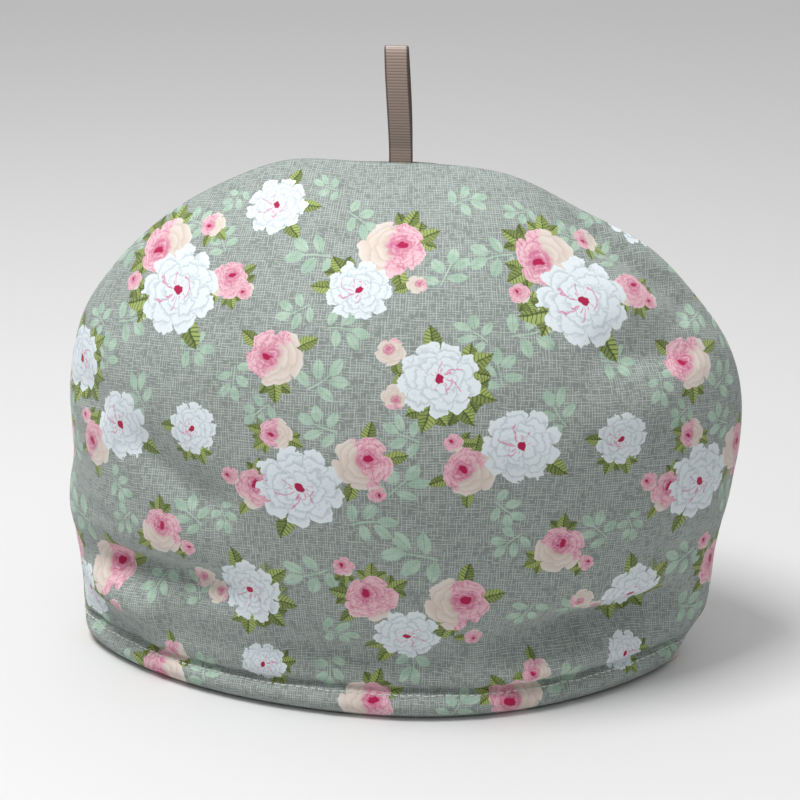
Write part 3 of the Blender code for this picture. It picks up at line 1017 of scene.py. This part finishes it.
class Wire:
    """A value in a shader, so that node trees read as sums."""

    def __init__(self, tree, socket):
        self.tree = tree
        self.socket = socket

    def math(self, operation, *others):
        """The outcome of a math node fed with this wire and others."""
        node = self.tree.nodes.new("ShaderNodeMath")
        node.operation = operation
        for k, value in enumerate((self,) + others):
            feed(self.tree, node.inputs[k], value)
        return Wire(self.tree, node.outputs[0])

    def __add__(self, other):
        return self.math("ADD", other)

    def __sub__(self, other):
        return self.math("SUBTRACT", other)

    def __mul__(self, other):
        return self.math("MULTIPLY", other)

    def __truediv__(self, other):
        return self.math("DIVIDE", other)

    def __neg__(self):
        return self.math("MULTIPLY", -1.0)

    __radd__ = __add__
    __rmul__ = __mul__

    def __rsub__(self, other):
        return (-self) + other

    def step(self, low, high):
        """0 below low, 1 above high, smooth between."""
        node = self.tree.nodes.new("ShaderNodeMapRange")
        node.interpolation_type = "SMOOTHSTEP"
        self.tree.links.new(self.socket, node.inputs["Value"])
        node.inputs["From Min"].default_value = low
        node.inputs["From Max"].default_value = high
        return Wire(self.tree, node.outputs["Result"])


def feed(tree, socket, value):
    """Give a socket a wire or a plain value."""
    if isinstance(value, Wire):
        tree.links.new(value.socket, socket)
    else:
        socket.default_value = value


def combine(x, y, z=0.0):
    """Vector from two wires and a third wire or number."""
    node = x.tree.nodes.new("ShaderNodeCombineXYZ")
    for k, value in enumerate((x, y, z)):
        feed(x.tree, node.inputs[k], value)
    return Wire(x.tree, node.outputs[0])


def separate(vector):
    """The three parts of a vector, as wires."""
    node = vector.tree.nodes.new("ShaderNodeSeparateXYZ")
    vector.tree.links.new(vector.socket, node.inputs[0])
    return [Wire(vector.tree, node.outputs[k]) for k in range(3)]


def noise(vector, scale, detail=1.0):
    """Smooth noise between 0 and 1."""
    node = vector.tree.nodes.new("ShaderNodeTexNoise")
    vector.tree.links.new(vector.socket, node.inputs["Vector"])
    node.inputs["Scale"].default_value = scale
    node.inputs["Detail"].default_value = detail
    return Wire(vector.tree, node.outputs["Fac"])


def cloth_map(tree):
    """The place on the flat cloth, as a wire."""
    node = tree.nodes.new("ShaderNodeUVMap")
    node.uv_map = "cloth"
    return Wire(tree, node.outputs["UV"])


def blend(share, low, high):
    """Colour between low and high, each a wire or an ink."""
    tree = share.tree
    node = tree.nodes.new("ShaderNodeMix")
    node.data_type = "RGBA"
    tree.links.new(share.socket, node.inputs["Factor"])
    for name, value in (("A", low), ("B", high)):
        socket = [item for item in node.inputs if item.name == name and item.type == "RGBA"][0]
        feed(tree, socket, value)
    output = [item for item in node.outputs if item.type == "RGBA"][0]
    return Wire(tree, output)


def motif_group(name, draw):
    """Node group that turns a place in a motif into its colour and its cover."""
    tree = bpy.data.node_groups.new(name, "ShaderNodeTree")
    tree.interface.new_socket("Place", in_out="INPUT", socket_type="NodeSocketVector")
    tree.interface.new_socket("Colour", in_out="OUTPUT", socket_type="NodeSocketColor")
    tree.interface.new_socket("Cover", in_out="OUTPUT", socket_type="NodeSocketFloat")
    start = tree.nodes.new("NodeGroupInput")
    end = tree.nodes.new("NodeGroupOutput")
    x, y, number = separate(Wire(tree, start.outputs[0]))
    tint = number.math("FRACT")
    seed = number.math("FLOOR")
    colour, cover = draw(x, y, seed, tint)
    tree.links.new(colour.socket, end.inputs["Colour"])
    tree.links.new(cover.socket, end.inputs["Cover"])
    return tree


def ruffle(x, y, shift, scale, detail=1.0):
    """Smooth unevenness between about -0.5 and 0.5."""
    return noise(combine(x, y, shift), scale, detail) - 0.5


def distance(x, y):
    """Length of a vector given as two wires."""
    return (x * x + y * y).math("SQRT")


def leaf(x, y, centre, angle, length, width, teeth=0.0):
    """Inside of a pointed leaf (above 0), its way along and its way across."""
    turn = math.radians(angle)
    dx, dy = x - centre[0], y - centre[1]
    along = (dx * math.cos(turn) + dy * math.sin(turn)) / length
    across = (dy * math.cos(turn) - dx * math.sin(turn)) / width
    body = 1.0 - along * along
    if teeth:
        body = body * (1.0 - teeth * (along * 3.5).math("FRACT"))
    return body - across.math("ABSOLUTE"), along, across


def draw_mint(x, y, seed, tint):
    """Pale sprig: a thin stem with leaves in turn on its two sides."""
    bend = (y * 2.0 + seed).math("SINE") * STEM_BEND
    x = x + bend
    side = x.math("SIGN")
    y_side = y - side * STEM_STAGGER
    x_side = x.math("ABSOLUTE")
    cover, _, rib = leaf(x, y, *MINT_TIP, MINT_TEETH)
    cover = cover * rib.math("ABSOLUTE").step(*MINT_SOFT)
    for pair in MINT_PAIRS:
        blade, _, rib = leaf(x_side, y_side, *pair, MINT_TEETH)
        cover = cover.math("MAXIMUM", blade * rib.math("ABSOLUTE").step(*MINT_SOFT))
    stem = (STEM_HALF - x.math("ABSOLUTE")) * 12.0
    stem = stem.math("MINIMUM", (STEM_END - y.math("ABSOLUTE")) * 4.0)
    cover = cover.math("MAXIMUM", stem).step(*MINT_SOFT)
    shade = noise(combine(x, y, seed), 2.2).step(0.3, 0.7)
    return blend(shade, MINT_DEEP, MINT_PALE), cover * MINT_COVER


def draw_leaves(x, y, seed, tint):
    """Toothed leaf with veins and one half darker, alone or in a fan of three."""
    wobble = ruffle(x, y, seed * 3.1, 3.0)
    x, y = x + wobble * 0.20, y + wobble * 0.16
    # The fan opens along x, away from the flower
    fold = y.math("ABSOLUTE")
    fan = (seed * FAN_CHOICE).math("FRACT").step(*FAN_SHARE)
    colour, cover = None, None
    for centre, angle, length, width, lightness in LEAF_FAN:
        across_in = fold if angle else y
        inside, along, across = leaf(x, across_in, centre, angle, length, width, LEAF_TEETH)
        vein = (along * LEAF_VEINS - across.math("ABSOLUTE") * VEIN_SLANT).math("FRACT")
        vein = vein.step(0.05, 0.50)
        rib = across.math("ABSOLUTE").step(0.03, 0.14)
        light = (tint * 0.8 + lightness) * (0.50 + 0.50 * across.step(-0.15, 0.15))
        light = light * (0.15 + 0.85 * vein) * (0.20 + 0.80 * rib)
        here = blend(light, LEAF_DARK, LEAF_LIGHT)
        mask = inside.step(*LEAF_SOFT)
        if angle:
            mask = mask * fan
        colour = here if colour is None else blend(mask, colour, here)
        cover = mask if cover is None else cover.math("MAXIMUM", mask)
    return colour, cover


def petal_ring(angle, radius, count, reach, turn, lobe):
    """Inside of a ring of round petals (above 0), and the share of the way to a crease."""
    part = (angle * (count / (2 * math.pi)) + turn).math("FRACT") - 0.5
    crease = (part * part) * 4.0
    rim = (1.0 - crease * crease * lobe) * reach
    return rim - radius, crease


def finish_rose(colour, x, y, seed, tint, pink, unevenness):
    """Light and deep strokes on the pink side, and the crimson heart of a full rose."""
    for stretch_x, stretch_y, shift, low, tone in ROSE_STROKES:
        turned = combine(x * stretch_x, y * stretch_y, seed + shift)
        stroke = noise(turned, 2.4, 2.0).step(low, low + 0.07)
        colour = blend(stroke * pink * 0.55, colour, tone)
    heart = 0.19 - distance(x - ROSE_HEART[0], (y - ROSE_HEART[1]) * 1.6) + unevenness
    full = 1.0 - tint.step(0.7, 0.9)
    colour = blend(heart.step(-0.22, 0.02) * full * 0.6, colour, ROSE_DEEP)
    return blend(heart.step(-0.02, 0.03) * full, colour, CRIMSON)


def draw_rose(x, y, seed, tint):
    """Full rose: rings of petals, pale outside and deep pink within, one side peach."""
    wobble = ruffle(x, y, seed * 2.7, 2.3)
    wobble_too = ruffle(y, x, seed * 1.9 + 40.0, 2.3)
    frill = ruffle(x, y, seed * 4.3, 8.0)
    wx, wy = x + wobble * 0.30 + frill * 0.08, y + wobble_too * 0.30 - frill * 0.08
    peach = (tint * 2.6 - 1.35 - x * 1.9 + wobble * 1.6).step(-0.16, 0.16)
    outer = blend(peach, ROSE_PINK, ROSE_PEACH)
    pale = blend(peach, ROSE_PALE, ROSE_CREAM)
    edge = blend(peach, ROSE_SHADE, PEACH_SHADE)
    colour, cover = None, None
    for k, (count, reach, lobe, shift) in enumerate(ROSE_RINGS):
        cx, cy = wx - shift, wy - shift * 0.5
        radius = distance(cx, cy)
        angle = cy.math("ARCTAN2", cx) + radius * ROSE_SWIRL
        inside, crease = petal_ring(angle, radius, count, reach, ROSE_TURN * k, lobe)
        deep = (1.0 - (inside * (3.0 + k)).math("MINIMUM", 1.0)) * (1.0 - crease * 0.75)
        tone = blend(deep, outer, pale)
        if k > 2:
            tone = blend(deep * 0.8 + 0.1, ROSE_DEEP, tone)
        mask = inside.step(*ROSE_SOFT)
        if colour is None:
            colour, cover = tone, mask
        else:
            shade = inside.step(-0.09, 0.0) * (0.45 - peach * 0.20)
            colour = blend(shade, colour, edge)
            colour = blend(mask, colour, tone)
    unevenness = wobble * 0.12 + frill * 0.16
    return finish_rose(colour, wx, wy, seed, tint, 1.0 - peach, unevenness), cover


def peony_strokes(x, y, seed, wobble, frill):
    """Fine strokes spread from the middle, longer on one side, and part of an arc."""
    radius = distance(x, y)
    angle = y.math("ARCTAN2", x) + wobble * 0.8 + radius * 0.9
    stroke = None
    for rays, reach, low in PEONY_STROKES:
        ray = (angle * rays + seed * rays).math("SINE").step(low, low + 0.10)
        longest = reach + reach * 0.55 * (angle - 1.9 + seed).math("SINE")
        here = ray * (longest - radius).step(0.0, 0.06) * radius.step(0.12, 0.20)
        stroke = here if stroke is None else stroke.math("MAXIMUM", here)
    arc = (0.035 - (radius - 0.30 + wobble * 0.25).math("ABSOLUTE")).step(0.0, 0.03)
    return stroke.math("MAXIMUM", arc * (x * 0.5 - y).step(0.10, 0.22) * frill.step(-0.10, 0.06))


def draw_peony(x, y, seed, tint):
    """White peony: ruffled rings of petals, pink strokes and a crimson middle."""
    wobble = ruffle(x, y, seed * 2.3, 3.4, 2.0)
    wobble_too = ruffle(y, x, seed * 1.7 + 20.0, 3.4, 2.0)
    frill = ruffle(x, y, seed * 5.1, 9.0)
    wx, wy = x + wobble * 0.40 + frill * 0.10, y + wobble_too * 0.40 - frill * 0.10
    colour, cover = None, None
    for k, (count, reach, lobe) in enumerate(PEONY_RINGS):
        radius = distance(wx, wy)
        angle = wy.math("ARCTAN2", wx)
        inside, crease = petal_ring(angle, radius, count, reach, PEONY_TURN * k, lobe)
        fine = (angle * 17.0 + wobble * 30.0).math("SINE").step(0.75, 1.0)
        grey = crease.step(0.70, 1.0) * 0.40 + fine * inside.step(0.02, 0.20) * 0.40
        tone = blend(grey, PEONY_WHITE, PEONY_GREY)
        mask = inside.step(*PEONY_SOFT)
        if colour is None:
            colour, cover = tone, mask
        else:
            line = inside.step(-0.10, 0.0) * 0.60
            colour = blend(line, colour, PEONY_GREY)
            colour = blend(mask, colour, tone)
    colour = blend(peony_strokes(x, y, seed, wobble, frill) * 0.80, colour, STROKE_PINK)
    heart = 0.135 - distance(x * 1.35, y) + wobble * 0.09 + frill * 0.12
    colour = blend(heart.step(-0.015, 0.02), colour, CRIMSON)
    return colour, cover


def ground(cloth):
    """Grey ground with short pale strokes along both threads, as woven linen looks."""
    u, v, _ = separate(cloth)
    strokes = None
    for along, across, offset in ((u, v, 0.0), (v, u, 31.0)):
        wander = combine(along * WANDER_ALONG, across * WANDER_ACROSS, offset)
        drift = noise(wander, 1.0) * STROKE_DRIFT
        line = ((across + drift) * (2 * math.pi / STROKE_PITCH)).math("COSINE").step(0.1, 0.95)
        row = ((across + drift) / STROKE_PITCH).math("ROUND")
        on = noise(combine(along * STROKE_BREAKS, row * ROW_APART, offset), 1.0).step(*STROKE_COVER)
        stroke = line * on
        strokes = stroke if strokes is None else strokes.math("MAXIMUM", stroke)
    mottle = noise(cloth, MOTTLE_SCALE, 2.0) * 0.5
    return blend(strokes * 0.85 + mottle * 0.6 - 0.14, GROUND_GREY, GROUND_PALE)


def print_motifs(tree, colour):
    """Lay the sprigs, leaves, roses, buds and peonies over the ground, in that order."""
    leaves = motif_group("leaf_motif", draw_leaves)
    rose = motif_group("rose_motif", draw_rose)
    for layer, group in (
        ("mint", motif_group("mint_motif", draw_mint)),
        ("leaf_low", leaves),
        ("leaf_high", leaves),
        ("rose", rose),
        ("bud", rose),
        ("peony", motif_group("peony_motif", draw_peony)),
    ):
        place_node = tree.nodes.new("ShaderNodeAttribute")
        place_node.attribute_name = f"{layer}_place"
        motif = tree.nodes.new("ShaderNodeGroup")
        motif.node_tree = group
        tree.links.new(place_node.outputs["Vector"], motif.inputs["Place"])
        colour = blend(Wire(tree, motif.outputs["Cover"]), colour, Wire(tree, motif.outputs["Colour"]))
    return colour


def add_weave(tree, shader, cloth):
    """Fine relief of the crossing threads."""
    u, v, _ = separate(cloth)
    turns = 2 * math.pi / THREAD_PITCH
    weave = (u * turns).math("COSINE") * (v * turns).math("COSINE")
    bump = tree.nodes.new("ShaderNodeBump")
    bump.inputs["Strength"].default_value = WEAVE_STRENGTH
    bump.inputs["Distance"].default_value = THREAD_RELIEF * MM
    tree.links.new(weave.socket, bump.inputs["Height"])
    tree.links.new(bump.outputs["Normal"], shader.inputs["Normal"])


def printed_cotton():
    """Matt cotton with its print and its weave."""
    material = bpy.data.materials.new("printed_cotton")
    material.use_nodes = True
    tree = material.node_tree
    shader = tree.nodes["Principled BSDF"]
    cloth = cloth_map(tree)
    colour = print_motifs(tree, ground(cloth))
    tree.links.new(colour.socket, shader.inputs["Base Color"])
    add_weave(tree, shader, cloth)
    shader.inputs["Roughness"].default_value = COTTON_ROUGHNESS
    shader.inputs["Sheen Weight"].default_value = COTTON_SHEEN
    shader.inputs["Specular IOR Level"].default_value = COTTON_GLOSS
    return material


def ribbon_material():
    """Taupe ribbon with a soft gleam, painted shade between its ribs, and dark along its edges."""
    material = simple_material("grosgrain_ribbon", RIBBON_TAUPE, RIBBON_ROUGHNESS)
    tree = material.node_tree
    shader = tree.nodes["Principled BSDF"]
    across, along, _ = separate(cloth_map(tree))
    # painted shade: darker in the grooves between the ribs
    rib = (along * (2 * math.pi / RIB_PITCH)).math("COSINE").step(-0.3, 0.9)
    edge = across.math("ABSOLUTE").step(*EDGE_BAND)
    tone = blend(rib * RIB_SHADE, RIBBON_TAUPE, RIB_GROOVE_SHADE)
    tone = blend(edge * EDGE_SHADE, tone, RIBBON_EDGE)
    tree.links.new(tone.socket, shader.inputs["Base Color"])
    shader.inputs["Sheen Weight"].default_value = RIBBON_SHEEN
    shader.inputs["Sheen Roughness"].default_value = RIBBON_SHEEN
    return material


def simple_material(name, colour, roughness):
    """Material of one colour all over."""
    material = bpy.data.materials.new(name)
    material.use_nodes = True
    shader = material.node_tree.nodes["Principled BSDF"]
    shader.inputs["Base Color"].default_value = colour
    shader.inputs["Roughness"].default_value = roughness
    return material


def make_camera():
    """Camera at the height and side from which the cosy is seen, with its long lens."""
    side, up = math.radians(CAMERA_SIDE), math.radians(CAMERA_UP)
    target = Vector(CAMERA_TARGET)
    back = Vector((math.sin(side) * math.cos(up), -math.cos(side) * math.cos(up), math.sin(up)))
    data = bpy.data.cameras.new("camera")
    data.sensor_width = CAMERA_SENSOR
    data.lens = CAMERA_LENS
    item = bpy.data.objects.new("camera", data)
    item.location = target + back * CAMERA_DISTANCE
    item.rotation_euler = (-back).to_track_quat("-Z", "Y").to_euler()
    bpy.context.collection.objects.link(item)
    bpy.context.scene.camera = item


def make_floor():
    """Plain pale floor."""
    far = FLOOR_HALF
    points = np.array([[-far, -far, 0], [far, -far, 0], [far, far, 0], [-far, far, 0]])
    floor = build_mesh("floor", points, np.array([[0, 1, 2, 3]]))
    floor.data.materials.append(simple_material("floor", FLOOR_WHITE, MATT))


def make_sky():
    """Soft light from all round, stronger from above."""
    world = bpy.data.worlds.new("studio")
    bpy.context.scene.world = world
    world.use_nodes = True
    background = world.node_tree.nodes["Background"]
    background.inputs["Color"].default_value = (1.0, 1.0, 1.0, 1.0)
    direction = world.node_tree.nodes.new("ShaderNodeTexCoord")
    height = separate(Wire(world.node_tree, direction.outputs["Generated"]))[2]
    overhead = height.step(*SKY_BAND) * SKY_OVERHEAD + SKY_LOW
    world.node_tree.links.new(overhead.socket, background.inputs["Strength"])


def make_key_light():
    """Soft lamp, high on the left and a little in front."""
    light = bpy.data.lights.new("key", "AREA")
    light.energy = KEY_POWER
    light.size = KEY_SIZE
    item = bpy.data.objects.new("key", light)
    item.location = KEY_PLACE
    item.rotation_euler = (Vector(KEY_AIM) - item.location).to_track_quat("-Z", "Y").to_euler()
    bpy.context.collection.objects.link(item)


def main():
    front, front_outer = make_panel("front_cloth", -1, 1, FRONT_FOLDS, FRONT_CREASES, FRONT_SEED)
    back, back_outer = make_panel("back_cloth", 1, 2, BACK_FOLDS, BACK_CREASES, BACK_SEED)
    loop = make_ribbon("ribbon_loop")
    for item, node in ((front, "front_panel"), (back, "back_panel"), (loop, "hanging_loop")):
        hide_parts(node)
        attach(item, "root")
    cotton = printed_cotton()
    inside = simple_material("plain_inside", INSIDE_CREAM, MATT)
    for item in (front, back):
        item.data.materials.append(cotton)
        item.data.materials.append(inside)
    loop.data.materials.append(ribbon_material())
    thread = simple_material("hem_thread", THREAD_GREY, THREAD_ROUGHNESS)
    row = int(round(STITCH_HEIGHT / HEM_STEP))
    for name, outer, facing in (("front_stitches", front_outer, -1), ("back_stitches", back_outer, 1)):
        stitches = make_stitches(name, outer[row], facing)
        stitches.data.materials.append(thread)
        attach(stitches, "root")
    make_camera()
    make_floor()
    make_sky()
    make_key_light()
    bpy.context.scene.view_settings.view_transform = "Standard"


main()
